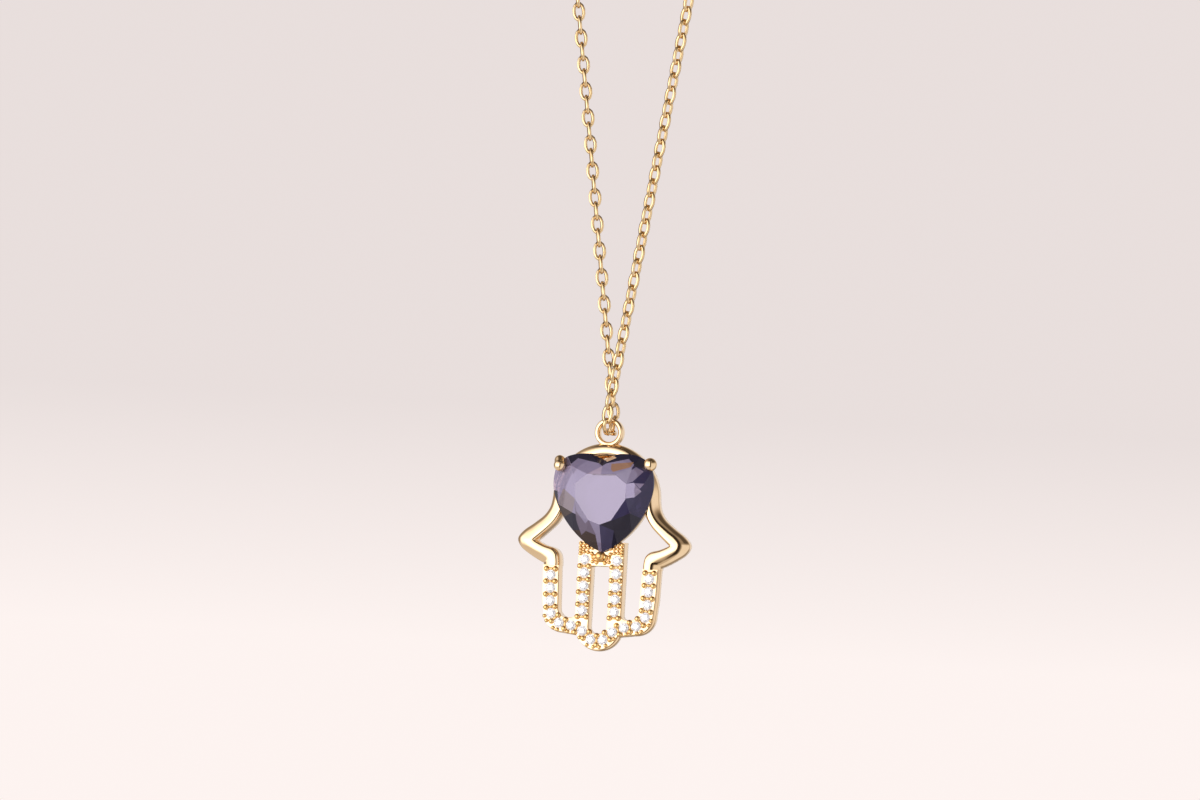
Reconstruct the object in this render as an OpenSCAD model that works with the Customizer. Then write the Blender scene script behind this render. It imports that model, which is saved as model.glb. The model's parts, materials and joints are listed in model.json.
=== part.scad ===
// Necklace with a hand-shaped pendant, a heart-cut stone and a fine cable chain.
// Millimetres, +Z up, front towards -Y. The origin is the middle of the clasp at the nape.

/* [Chain] */
// Length of the whole necklace round the neck, with clasp and end ring
necklace_length = 450; // [400:10:600]
// Lean of each strand from the vertical where it rises from the pendant, in degrees
strand_lean = 8.2; // [6:0.2:14]
// Outer diameter of the chain
chain_d = 1.4; // [1.2:0.1:1.4]

/* [Bail ring] */
// Diameter of the hole that the chain runs through
bail_hole_d = 2; // [2:0.05:2.2]
// Thickness of the bail ring's wall
bail_wall = 0.34; // [0.3:0.02:0.42]
// Depth of the bail ring from front to back
bail_depth = 1.2; // [1.1:0.05:1.3]
// How far the bail ring is let into the arc below it
bail_sink = 0.29; // [0.2:0.01:0.32]

/* [Polished band] */
// Radius of the top arc's outer edge
arc_radius = 5.4; // [5.35:0.05:5.45]
// Width of the top arc
arc_band_w = 1.5; // [1.3:0.05:1.6]
// Depth of the band from front to back
band_depth = 1.7; // [1.5:0.05:2]
// Share of that depth that the half-round front takes
dome_share = 0.5; // [0.3:0.05:0.6]

/* [Fingers] */
// Depth of the fingers from front to back
finger_depth = 1.5; // [1.3:0.05:1.7]
// Width of each outer finger
outer_finger_w = 1.52; // [1.4:0.02:1.6]
// Width of each middle finger
middle_finger_w = 1.32; // [1.2:0.02:1.4]
// Height from the top of the arc down to the lowest lobe
hand_h = 20.45; // [20.3:0.05:20.6]

/* [Heart stone] */
// Width of the stone across its lobes
stone_w = 10.2; // [10:0.05:10.25]
// Height of the crown, from the girdle to the table
crown_h = 1.1; // [1:0.05:1.6]
// Thickness of the girdle
girdle_h = 0.2; // [0.1:0.02:0.3]
// Depth of the pavilion behind the girdle
pavilion_h = 1.6; // [1.4:0.1:2]
// Turn of the stone in its seat, in degrees
stone_turn = 1.5; // [0:0.5:3]
// Diameter of the ball on each shoulder prong
shoulder_ball_d = 1.25; // [1:0.05:1.3]
// Diameter of the ball on the prong under the tip
tip_ball_d = 0.95; // [0.8:0.05:1]

/* [Clasp] */
// Length of the clasp over all
clasp_length = 10.2; // [10:0.1:10.6]
// Diameter of the clasp's wire at its nose
clasp_wire_d = 1; // [0.9:0.05:1.05]
// Middle diameter of the end ring
end_ring_d = 4; // [3.9:0.1:4.4]
// Diameter of the end ring's wire
end_ring_wire_d = 0.6; // [0.5:0.05:0.65]

/* [Hidden] */
$fn = 96;
gold = "#d8a95a";
violet = "#5a4a86";
clearance = 0.1;

// The pendant is drawn across and up from a point above the top of its arc
arc_top = -1.3;
arc_centre = arc_top - arc_radius;
arc_steps = 12;
steps_between_rows = 3;
dome_steps = 6;

// Edges of the band below the arc: outer across, outer up, inner across, inner up
band_rows = [
    [5.40, -6.70, 3.90, -6.70],
    [5.60, -7.70, 4.08, -8.00],
    [6.15, -8.58, 4.80, -9.30],
    [7.15, -9.42, 5.88, -10.38],
    [8.20, -10.20, 6.52, -10.95],
    [8.76, -11.02, 6.70, -11.10],
    [8.35, -11.88, 6.48, -11.24],
    [7.35, -12.60, 5.75, -11.55],
    [6.42, -13.12, 4.88, -11.80],
    [5.98, -13.42, 4.40, -12.20],
    [5.84, -13.66, 4.29, -12.90],
    [5.82, -13.90, 4.30, -13.90]
];

finger_top = -13.5;
outer_finger_x = 5.82;
outer_corner_r = 2;
outer_corner_at = [3.75, -18.1];
notch_at = [2.15, -20.25];
lobe_r = 2.4;
lobe_at = [0, arc_top - hand_h + lobe_r];
middle_finger_x = 0.94;
middle_finger_top = -11;
outer_slot_floor = -18.5;
outer_slot_r = 0.9;
outer_slot_lean = 0.15;
middle_slot_top = -13.4;
middle_slot_floor = -19.98;
middle_slot_r = 0.6;
finger_curve_steps = 8;

// Heart outline about the stone's centre, cleft to lobe to side to tip: four curve points and steps
heart_curves = [
    [[0, 3.95], [0.3, 4.3], [0.7, 4.57], [1.3, 4.6], 3],
    [[1.3, 4.6], [3.9, 4.75], [5.1, 3.9], [5.1, 1.7], 6],
    [[5.1, 1.7], [5.1, -0.9], [2.5, -4.2], [0, -5.05], 9]
];
heart_tip = [0, -5.05];
table_corners = [[1.4, 2.55], [2.6, 1.6], [2.55, 0.1], [1.1, -2.05]];
table_tip = [0, -2.4];
stone_at = [0, -7];
stone_share = stone_w / 10.2;
girdle_back = -0.9;
seat_play = 0.08;
seat_inner_share = 0.84;
seat_outer_share = 0.95;
seat_front = -0.6;
seat_depth = 1.3;

prong_angle = 36.5;
shoulder_ball_y = -1.77;
shoulder_post_d = 0.6;
shoulder_post_out = 0.34;
shoulder_ball_out = 0.16;
prong_foot_d = 1.1;
prong_foot_depth = 0.7;
tip_ball_at = [0, -12.4];
tip_ball_y = -0.98;

// The loop: an arc round the neck, two straight strands and a turn through the bail ring
turn_r = bail_depth / 2 + clearance + chain_d / 2;
turn_above_bail = turn_r - (bail_hole_d / 2 - clearance - chain_d / 2);
loop_r = (necklace_length - PI * turn_r)
    / (2 / tan(strand_lean) + PI * (180 + 2 * strand_lean) / 180);
nape_rise = 0.5;
loop_centre = nape_rise - loop_r;
turn_z = loop_centre - loop_r / sin(strand_lean);
bail_z = turn_z - turn_above_bail;
hand_z = bail_z - bail_hole_d / 2 - bail_wall + bail_sink - arc_top;
chain_sides = 8;
neck_steps = 13;
strand_steps = 14;
turn_steps = 8;

clasp_back = -0.56 * clasp_length;
clasp_nose = clasp_back + clasp_length;
eye_wire_d = 0.6;
eye_d = 1.7;
hook_r = 2;
hook_x = clasp_nose - hook_r - clasp_wire_d / 2;
hook_from = 106;
hook_steps = 16;
hook_sides = 12;
clasp_root_x = -2.7;
clasp_root_half = 0.6;
clasp_root_d = 1.5;
clasp_body_d = 2.6;
end_ring_x = clasp_nose - clasp_wire_d - clearance - end_ring_wire_d / 2 + end_ring_d / 2;
end_ring_reach = end_ring_x + end_ring_d / 2 + end_ring_wire_d / 2;
end_ring_tilt = 8;

// Points and curves
function polar(r, angle) = [r * cos(angle), r * sin(angle)];
function turned(p, angle) =
    [p.x * cos(angle) - p.y * sin(angle), p.x * sin(angle) + p.y * cos(angle)];
function unit(v) = v / norm(v);
function cubic(a, b, c, d, t) =
    pow(1 - t, 3) * a + 3 * pow(1 - t, 2) * t * b + 3 * (1 - t) * t * t * c + t * t * t * d;
function through(a, b, c, d, t) =
    (2 * b + (c - a) * t + (2 * a - 5 * b + 4 * c - d) * t * t
        + (3 * b - a - 3 * c + d) * t * t * t) / 2;
function arc(centre, r, from, to, steps) =
    [for (k = [0 : steps]) centre + polar(r, from + (to - from) * k / steps)];
function backwards(list) = [for (i = [len(list) - 1 : -1 : 0]) list[i]];

// Half of the band as rows of its two edges, from the top of the arc to the finger
function arc_row(angle) =
    let (outer = polar(arc_radius, angle), inner = polar(arc_radius - arc_band_w, angle))
    [outer.x, outer.y + arc_centre, inner.x, inner.y + arc_centre];
function band_row(i) = i < 0 ? arc_row(90 / arc_steps) : band_rows[min(i, len(band_rows) - 1)];
function half_band() = concat(
    [for (k = [0 : arc_steps - 1]) arc_row(90 - 90 * k / arc_steps)],
    [for (i = [0 : len(band_rows) - 2]) for (k = [0 : steps_between_rows - 1])
        through(band_row(i - 1), band_row(i), band_row(i + 1), band_row(i + 2), k / steps_between_rows)],
    [band_row(len(band_rows) - 1)]
);
function mirrored_row(r) = [-r[0], r[1], -r[2], r[3]];
function whole_band() =
    let (half = half_band())
    concat(backwards(half), [for (i = [1 : len(half) - 1]) mirrored_row(half[i])]);

// Section of the band at one row: half-round in front, flat behind
function band_ring(r) =
    let (outer = [r[0], r[1]], inner = [r[2], r[3]], middle = (outer + inner) / 2,
        reach = (outer - inner) / 2, dome = band_depth * dome_share)
    concat(
        [for (k = [0 : dome_steps])
            let (angle = 180 * k / dome_steps, p = middle + reach * cos(angle))
            [p.x, dome - band_depth / 2 - dome * sin(angle), p.y]],
        [[inner.x, band_depth / 2, inner.y], [outer.x, band_depth / 2, outer.y]]
    );

// Closed skin over a run of rings that all have the same number of points
module skin(rings) {
    sides = len(rings[0]);
    last = len(rings) - 1;
    polyhedron(
        points = [for (ring = rings) each ring],
        faces = concat(
            [[for (s = [sides - 1 : -1 : 0]) s]],
            [[for (s = [0 : sides - 1]) last * sides + s]],
            [for (r = [0 : last - 1]) for (s = [0 : sides - 1])
                let (n = (s + 1) % sides, low = r * sides, high = low + sides)
                each [[low + s, high + n, high + s], [low + s, low + n, high + n]]]
        )
    );
}

// A flat drawing given a depth, from a front plane backwards
module deep(front, depth) {
    translate([0, front + depth, 0]) rotate([90, 0, 0]) linear_extrude(depth) children();
}

module both_sides() {
    children();
    mirror([1, 0, 0]) children();
}

module band() {
    skin([for (r = whole_band()) band_ring(r)]);
}

// Outer fingers and their rounded bottoms, the right half filled in to the middle
function outer_half() = concat(
    [[0, finger_top], [outer_finger_x, finger_top]],
    arc(outer_corner_at, outer_corner_r, 0, -90, finger_curve_steps),
    [notch_at, [0, notch_at.y]]
);
function outer_slot() =
    let (inner = middle_finger_x + middle_finger_w, outer = outer_finger_x - outer_finger_w,
        r = outer_slot_r, low = outer_slot_floor + r, foot = outer - outer_slot_lean)
    concat(
        [[inner, finger_top + 1], [outer, finger_top + 1], [outer, finger_top]],
        arc([foot - r, low], r, 0, -90, finger_curve_steps),
        arc([inner + r / 2, outer_slot_floor + r / 2], r / 2, -90, -180, finger_curve_steps)
    );
function middle_slot() =
    let (r = middle_slot_r, x = middle_finger_x - r, low = middle_slot_floor + r)
    concat(
        [[-middle_finger_x, middle_slot_top], [middle_finger_x, middle_slot_top]],
        arc([x, low], r, 0, -90, finger_curve_steps),
        arc([-x, low], r, -90, -180, finger_curve_steps)
    );

module finger_outline() {
    half_width = middle_finger_x + middle_finger_w;
    difference() {
        union() {
            both_sides() polygon(outer_half());
            translate([-half_width, finger_top - 1])
                square([2 * half_width, middle_finger_top - finger_top + 1]);
            translate(lobe_at) circle(lobe_r);
        }
        both_sides() polygon(outer_slot());
        polygon(middle_slot());
    }
}

// Heart outline, clockwise from the cleft as seen from the front
function heart_right() = [for (c = heart_curves) for (k = [0 : c[4] - 1])
    cubic(c[0], c[1], c[2], c[3], k / c[4])];
function heart(share) =
    let (right = heart_right(), n = len(right),
        left = [for (i = [n - 1 : -1 : 1]) [-right[i].x, right[i].y]])
    [for (p = concat(right, [heart_tip], left))
        stone_at + turned(share * stone_share * p, stone_turn)];
function table_outline(share) =
    let (left = [for (p = backwards(table_corners)) [-p.x, p.y]])
    [for (p = concat(table_corners, [table_tip], left))
        stone_at + turned(share * stone_share * p, stone_turn)];

// The cut stone, or with play the space that it needs in its seat
module cut_stone(play = 0) {
    share = 1 + 2 * play / stone_w;
    table = table_outline(share);
    girdle = heart(share);
    n = len(girdle);
    corners = len(table);
    fan = n / corners;
    front = girdle_back - girdle_h - play;
    behind = girdle_back + pavilion_h + play;
    facet = corners + 2 * n;
    function front_i(j) = corners + j % n;
    function back_i(j) = corners + n + j % n;
    polyhedron(
        points = concat(
            [for (p = table) [p.x, front - crown_h, p.y]],
            [for (p = girdle) [p.x, front, p.y]],
            [for (p = girdle) [p.x, girdle_back, p.y]],
            [for (p = table) [p.x, behind, p.y]]
        ),
        faces = concat(
            [[for (i = [0 : corners - 1]) i]],
            [[for (i = [corners - 1 : -1 : 0]) facet + i]],
            [for (i = [0 : corners - 1]) each concat(
                [for (j = [0 : fan - 1]) [i, front_i(fan * i + j), front_i(fan * i + j + 1)]],
                [[i, front_i(fan * (i + 1)), (i + 1) % corners]],
                [for (j = [0 : fan - 1]) [facet + i, back_i(fan * i + j + 1), back_i(fan * i + j)]],
                [[facet + i, facet + (i + 1) % corners, back_i(fan * (i + 1))]])],
            [for (j = [0 : n - 1]) each [
                [front_i(j), back_i(j), back_i(j + 1)],
                [front_i(j), back_i(j + 1), front_i(j + 1)]]]
        )
    );
}

module seat() {
    deep(seat_front, seat_depth) difference() {
        polygon(heart(seat_outer_share));
        polygon(heart(seat_inner_share));
    }
}

module bail_ring() {
    chamfer = bail_wall / 4;
    inner = bail_hole_d / 2;
    outer = inner + bail_wall;
    half = bail_depth / 2;
    rotate([90, 0, 0]) rotate_extrude() polygon([
        [inner, -half + chamfer], [inner + chamfer, -half], [outer - chamfer, -half],
        [outer, -half + chamfer], [outer, half - chamfer], [outer - chamfer, half],
        [inner + chamfer, half], [inner, half - chamfer]
    ]);
}

module shoulder_prong() {
    post_at = polar(arc_radius + shoulder_post_out, prong_angle) + [0, arc_centre];
    ball_at = polar(arc_radius + shoulder_ball_out, prong_angle) + [0, arc_centre];
    translate([post_at.x, shoulder_ball_y, post_at.y]) rotate([-90, 0, 0])
        cylinder(d = shoulder_post_d, h = prong_foot_depth / 2 - shoulder_ball_y);
    translate([ball_at.x, 0, ball_at.y]) rotate([-90, 0, 0])
        cylinder(d = prong_foot_d, h = prong_foot_depth);
    translate([ball_at.x, shoulder_ball_y, ball_at.y]) sphere(d = shoulder_ball_d);
}

module frame() {
    color(gold) {
        translate([0, 0, bail_z]) bail_ring();
        translate([0, 0, hand_z]) difference() {
            union() {
                band();
                deep(-finger_depth / 2, finger_depth) finger_outline();
                seat();
                both_sides() shoulder_prong();
                translate([tip_ball_at.x, tip_ball_y, tip_ball_at.y]) sphere(d = tip_ball_d);
            }
            cut_stone(seat_play);
        }
    }
}

module heart_stone() {
    color(violet) translate([0, 0, hand_z]) cut_stone();
}

// Route of the chain from the end ring down the right strand, through the bail and up to the clasp
function neck_point(angle) = [loop_r * cos(angle), 0, loop_centre + loop_r * sin(angle)];
function neck_run(from, to) =
    [for (k = [0 : neck_steps]) neck_point(from + (to - from) * k / neck_steps)];
function strand_run(from, to) =
    [for (k = [1 : strand_steps - 1]) from + (to - from) * k / strand_steps];
function turn_run() =
    [for (k = [0 : turn_steps])
        let (angle = 180 * k / turn_steps)
        [0, -turn_r * cos(angle), turn_z - turn_r * sin(angle)]];
function chain_route() =
    let (right_end = acos((end_ring_reach + clearance) / loop_r),
        left_end = acos((clasp_back - clearance) / loop_r),
        turn = turn_run(), last = len(turn) - 1)
    concat(
        neck_run(right_end, -strand_lean),
        strand_run(neck_point(-strand_lean), turn[0]),
        turn,
        strand_run(turn[last], neck_point(180 + strand_lean)),
        neck_run(180 + strand_lean, left_end)
    );
function line_at(route, i) = unit(route[min(i + 1, len(route) - 1)] - route[max(i - 1, 0)]);

// Ring of a round tube: side is any direction across the tube
function tube_ring(at, along, side, d, sides) =
    let (across = unit(side), up = cross(across, along))
    [for (s = [0 : sides - 1])
        let (angle = 360 * (s + 0.5) / sides)
        at + d / 2 * (cos(angle) * across + sin(angle) * up)];

module chain() {
    route = chain_route();
    color(gold) skin([for (i = [0 : len(route) - 1])
        let (along = line_at(route, i))
        tube_ring(route[i], along, cross(along, [1, 0, 0]), chain_d, chain_sides)]);
}

module wire_ring(middle_d, wire_d) {
    rotate_extrude() translate([middle_d / 2, 0]) circle(d = wire_d);
}

// Closed hook of the clasp: out from the root, round the nose and back, thicker towards the root
function hook_route() =
    [for (p = concat([[clasp_root_x, clasp_root_half]],
        arc([hook_x, 0], hook_r, hook_from, -hook_from, hook_steps),
        [[clasp_root_x, -clasp_root_half]])) [p.x, 0, p.y]];
function hook_d(x) = clasp_wire_d + (clasp_root_d - clasp_wire_d)
    * pow((clasp_nose - x) / (clasp_nose - clasp_root_x), 2);

module clasp() {
    route = hook_route();
    color(gold) {
        skin([for (i = [0 : len(route) - 1])
            tube_ring(route[i], line_at(route, i), [0, 1, 0], hook_d(route[i].x), hook_sides)]);
        translate([clasp_root_x, 0, 0]) rotate([90, 0, 0])
            cylinder(d = clasp_body_d, h = clasp_root_d, center = true);
        translate([clasp_back + (eye_d + eye_wire_d) / 2, 0, 0]) rotate([90, 0, 0])
            wire_ring(eye_d, eye_wire_d);
    }
}

module end_ring() {
    near = end_ring_x - end_ring_d / 2;
    color(gold) translate([near, 0, 0]) rotate([0, end_ring_tilt, 0])
        translate([end_ring_d / 2, 0, 0]) wire_ring(end_ring_d, end_ring_wire_d);
}

frame();
heart_stone();
chain();
clasp();
end_ring();
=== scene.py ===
import json
import math

import bmesh
import bpy
from mathutils import Matrix, Vector


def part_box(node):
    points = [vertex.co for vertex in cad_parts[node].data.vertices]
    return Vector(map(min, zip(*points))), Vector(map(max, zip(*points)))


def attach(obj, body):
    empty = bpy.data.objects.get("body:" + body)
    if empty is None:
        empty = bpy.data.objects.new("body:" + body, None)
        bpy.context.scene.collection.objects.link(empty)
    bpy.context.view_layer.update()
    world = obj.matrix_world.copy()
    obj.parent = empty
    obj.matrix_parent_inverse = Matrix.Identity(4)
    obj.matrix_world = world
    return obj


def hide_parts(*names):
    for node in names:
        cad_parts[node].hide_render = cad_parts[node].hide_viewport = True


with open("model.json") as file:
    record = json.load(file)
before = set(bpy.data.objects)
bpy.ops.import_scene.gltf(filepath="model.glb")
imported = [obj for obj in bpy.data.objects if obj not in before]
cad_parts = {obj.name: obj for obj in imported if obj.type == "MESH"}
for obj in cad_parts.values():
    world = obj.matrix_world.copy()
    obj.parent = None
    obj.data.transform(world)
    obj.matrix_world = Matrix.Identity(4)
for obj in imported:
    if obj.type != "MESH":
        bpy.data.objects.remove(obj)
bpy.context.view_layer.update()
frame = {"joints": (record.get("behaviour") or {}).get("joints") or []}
print("frame loaded")

# Pieces are modelled in millimetres and brought to metres when they are finished.
# Drawings of the pendant are [across, up] from a point just above the top of its arc, and the front is -Y.
mm = 0.001
bailZ = frame["joints"][0]["pos_m"][2] / mm
handZ = bailZ + 0.25
cornerMiddle = 0.3  # share of a rounding at which the middle point of a rounded edge lies


def drawn(point, y):
    return Vector((point[0], y, handZ + point[1]))


def mirrored(points):
    return [(-x, z) for x, z in reversed(points)]


def arcPoints(centre, radius, start, end, steps):
    angles = [math.radians(start + (end - start) * k / steps) for k in range(steps + 1)]
    return [(centre[0] + radius * math.cos(a), centre[1] + radius * math.sin(a)) for a in angles]


def smoothBetween(a, b, c, d, t):
    # row at share t of the smooth curve from b to c, where a and d are the rows beyond
    return tuple(
        (2 * q + (r - p) * t + (2 * p - 5 * q + 4 * r - s) * t * t + (3 * q - p - 3 * r + s) * t ** 3) / 2
        for p, q, r, s in zip(a, b, c, d)
    )


def insetOutline(points, distance):
    # moves a closed outline to the right of its own direction of travel
    moved = []
    for i, here in enumerate(points):
        before, after = points[i - 1], points[(i + 1) % len(points)]
        a = Vector((here[0] - before[0], here[1] - before[1])).normalized()
        b = Vector((after[0] - here[0], after[1] - here[1])).normalized()
        sideA, sideB = Vector((a.y, -a.x)), Vector((b.y, -b.x))
        step = (sideA + sideB) * distance / (1 + sideA.dot(sideB))
        moved.append((here[0] + step.x, here[1] + step.y))
    return moved


def startRing(bm, points):
    # closed ring of edges through the points
    ring = bmesh.ops.create_circle(bm, segments=len(points), radius=1)["verts"]
    for vert, point in zip(ring, points):
        vert.co = point
    return list(ring)


def ringEdges(bm, ring):
    return [bm.edges.get(pair) for pair in zip(ring, ring[1:] + ring[:1])]


def extrudeRing(bm, ring, points):
    # wall from a ring to the points, which become the next ring
    made = bmesh.ops.extrude_edge_only(bm, edges=ringEdges(bm, ring))["geom"]
    fresh = {part for part in made if isinstance(part, bmesh.types.BMVert)}
    after = [next(e.other_vert(v) for e in v.link_edges if e.other_vert(v) in fresh) for v in ring]
    for vert, point in zip(after, points):
        vert.co = point
    return after


def wallsThrough(bm, loops):
    # wall through the loops, open at both ends
    first = last = startRing(bm, loops[0])
    for points in loops[1:]:
        last = extrudeRing(bm, last, points)
    return first, last


def sweep(bm, loops):
    # solid through the loops, closed at both ends
    for ring in wallsThrough(bm, loops):
        bmesh.ops.contextual_create(bm, geom=ringEdges(bm, ring))


def wireRing(point, along, across, diameter, sides):
    # section of a round wire
    side = along.cross(across).normalized()
    angles = [2 * math.pi * k / sides for k in range(sides)]
    return [point + (side * math.cos(a) + side.cross(along) * math.sin(a)) * diameter / 2 for a in angles]


def turnOnLathe(bm, profile, centre, axis, steps):
    # profile is [distance from the axis, height along it], both ends on the axis
    axis = Vector(axis).normalized()
    side = axis.orthogonal().normalized()
    verts = [bm.verts.new(Vector(centre) + side * r + axis * h) for r, h in profile]
    edges = [bm.edges.new(pair) for pair in zip(verts, verts[1:])]
    bmesh.ops.spin(bm, geom=verts + edges, cent=centre, axis=axis, angle=2 * math.pi, steps=steps,
                   use_merge=True)


def ballAt(bm, centre, diameter, rings=8):
    place = Matrix.Translation(centre)
    bmesh.ops.create_uvsphere(bm, u_segments=2 * rings, v_segments=rings, radius=diameter / 2, matrix=place)


def makePiece(name, bm, material, body, smoothUnder=None):
    bmesh.ops.remove_doubles(bm, verts=bm.verts, dist=0.0005)
    bmesh.ops.recalc_face_normals(bm, faces=bm.faces)
    bmesh.ops.scale(bm, vec=(mm, mm, mm), verts=bm.verts)
    mesh = bpy.data.meshes.new(name)
    bm.to_mesh(mesh)
    bm.free()
    mesh.materials.append(material)
    if smoothUnder:
        mesh.shade_smooth()
        mesh.set_sharp_from_angle(angle=math.radians(smoothUnder))
    piece = bpy.data.objects.new(name, mesh)
    bpy.context.scene.collection.objects.link(piece)
    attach(piece, body)
    print("made", name, len(mesh.polygons), "faces")
    return piece


def newMaterial(name):
    material = bpy.data.materials.new(name)
    material.use_nodes = True
    nodes = material.node_tree.nodes
    return material, nodes, material.node_tree.links, nodes["Principled BSDF"]


def polishedGold(name, look):
    material, nodes, links, shader = newMaterial(name)
    shader.inputs["Metallic"].default_value = 1
    place = nodes.new("ShaderNodeTexCoord")
    cloud = nodes.new("ShaderNodeTexNoise")  # faint unevenness of the plating
    cloud.inputs["Scale"].default_value = look["cloudsPerMetre"]
    cloud.inputs["Detail"].default_value = 3
    links.new(place.outputs["Object"], cloud.inputs["Vector"])
    tone = nodes.new("ShaderNodeValToRGB")
    tone.color_ramp.elements[0].position = 0.3
    tone.color_ramp.elements[0].color = (*look["deep"], 1)
    tone.color_ramp.elements[1].position = 0.7
    tone.color_ramp.elements[1].color = (*look["pale"], 1)
    links.new(cloud.outputs["Fac"], tone.inputs["Fac"])
    links.new(tone.outputs["Color"], shader.inputs["Base Color"])
    polish = nodes.new("ShaderNodeMapRange")
    polish.inputs["To Min"].default_value = look["roughness"][0]
    polish.inputs["To Max"].default_value = look["roughness"][1]
    links.new(cloud.outputs["Fac"], polish.inputs["Value"])
    links.new(polish.outputs["Result"], shader.inputs["Roughness"])
    grain = nodes.new("ShaderNodeTexNoise")  # fine marks that polishing leaves
    grain.inputs["Scale"].default_value = look["grainsPerMetre"]
    grain.inputs["Detail"].default_value = 2
    links.new(place.outputs["Object"], grain.inputs["Vector"])
    bump = nodes.new("ShaderNodeBump")
    bump.inputs["Strength"].default_value = look["grainStrength"]
    bump.inputs["Distance"].default_value = look["grainHeight"]
    links.new(grain.outputs["Fac"], bump.inputs["Height"])
    links.new(bump.outputs["Normal"], shader.inputs["Normal"])
    return material


castGold = polishedGold("cast_gold", {
    "pale": (0.96, 0.73, 0.47), "deep": (0.92, 0.67, 0.39), "roughness": (0.05, 0.10), "cloudsPerMetre": 500,
    "grainsPerMetre": 7000, "grainStrength": 0.06, "grainHeight": 0.00001,
})
# a deeper, more orange copy of the cast gold: painted shade and gold-to-gold reflection between the stones
shadedBeadGold = polishedGold("bead_gold_shaded", {
    "pale": (0.90, 0.61, 0.28), "deep": (0.82, 0.51, 0.20), "roughness": (0.18, 0.26), "cloudsPerMetre": 900,
    "grainsPerMetre": 7000, "grainStrength": 0.12, "grainHeight": 0.00001,
})
chainGold = polishedGold("chain_gold", {
    "pale": (0.92, 0.69, 0.40), "deep": (0.83, 0.59, 0.30), "roughness": (0.10, 0.18), "cloudsPerMetre": 900,
    "grainsPerMetre": 9000, "grainStrength": 0.1, "grainHeight": 0.00001,
})
claspGold = polishedGold("clasp_gold", {
    "pale": (0.92, 0.67, 0.38), "deep": (0.84, 0.57, 0.29), "roughness": (0.08, 0.16), "cloudsPerMetre": 600,
    "grainsPerMetre": 8000, "grainStrength": 0.3, "grainHeight": 0.00001,
})


def cutGlass(name, look):
    material, nodes, links, shader = newMaterial(name)
    shader.inputs["Transmission Weight"].default_value = look["clearness"]
    shader.inputs["IOR"].default_value = look["ior"]
    shader.inputs["Coat Weight"].default_value = look["coat"]
    place = nodes.new("ShaderNodeTexCoord")
    cloud = nodes.new("ShaderNodeTexNoise")  # faint streaks in the melt
    cloud.inputs["Scale"].default_value = look["streaksPerMetre"]
    links.new(place.outputs["Object"], cloud.inputs["Vector"])
    tone = nodes.new("ShaderNodeValToRGB")
    tone.color_ramp.elements[0].color = (*look["deep"], 1)
    tone.color_ramp.elements[1].color = (*look["pale"], 1)
    links.new(cloud.outputs["Fac"], tone.inputs["Fac"])
    colour = tone.outputs["Color"]
    if look.get("facetLightAndShade"):
        facets = nodes.new("ShaderNodeAttribute")  # painted light and shade of each facet, and in its alpha how clear it is
        facets.attribute_name = look["facetLightAndShade"]
        tinted = nodes.new("ShaderNodeMix")
        tinted.data_type = "RGBA"
        tinted.blend_type = "MULTIPLY"
        tinted.inputs["Factor"].default_value = 1
        links.new(colour, tinted.inputs["A"])
        links.new(facets.outputs["Color"], tinted.inputs["B"])
        links.new(facets.outputs["Alpha"], shader.inputs["Transmission Weight"])
        colour = tinted.outputs["Result"]
    links.new(colour, shader.inputs["Base Color"])
    polish = nodes.new("ShaderNodeMapRange")
    polish.inputs["To Min"].default_value = look["roughness"][0]
    polish.inputs["To Max"].default_value = look["roughness"][1]
    links.new(cloud.outputs["Fac"], polish.inputs["Value"])
    links.new(polish.outputs["Result"], shader.inputs["Roughness"])
    return material


violetGlass = cutGlass("violet_glass", {
    "ior": 1.35, "clearness": 1, "coat": 0.25, "pale": (1, 1, 1), "deep": (0.94, 0.93, 0.97),
    "roughness": (0, 0.02), "streaksPerMetre": 300, "facetLightAndShade": "facet_light_and_shade",
})
whiteStone = cutGlass("white_stone", {
    "ior": 1.9, "clearness": 0.15, "coat": 0, "pale": (1, 1, 1), "deep": (0.92, 0.94, 0.97),
    "roughness": (0, 0.02), "streaksPerMetre": 900, "facetLightAndShade": "facet_light_and_shade",
})
print("materials made")


# Polished band: the top arc, both shoulders and the bent thumbs, down to the outer fingers.
band = {
    "arcRadius": 5.4,
    "arcWidth": 1.5,
    "arcTop": -1.3,
    "depth": 1.7,
    "domeDepth": 0.85,
    "domeSquareness": 2.1,  # 2 is a half round
    "edgeRound": 0.13,
    "ridgeShift": 0.4,  # how far the ridge lies towards the inner edge of the shoulders and thumbs
    "arcSteps": 20,
    "stepsBetweenStations": 5,
    "domeSteps": 14,
    # outer across, outer up, inner across, inner up
    "stations": [
        (5.40, -6.70, 3.90, -6.70),
        (5.60, -7.70, 4.08, -8.00),
        (6.15, -8.58, 4.80, -9.30),
        (7.15, -9.42, 5.88, -10.38),
        (8.20, -10.20, 6.52, -10.95),
        (8.76, -11.02, 6.70, -11.10),
        (8.35, -11.88, 6.48, -11.24),
        (7.35, -12.60, 5.75, -11.55),
        (6.42, -13.12, 4.88, -11.80),
        (6.02, -13.30, 4.40, -12.25),
        (5.98, -13.42, 4.23, -12.90),
        (5.98, -13.54, 4.21, -13.54),
    ],
}


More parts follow.
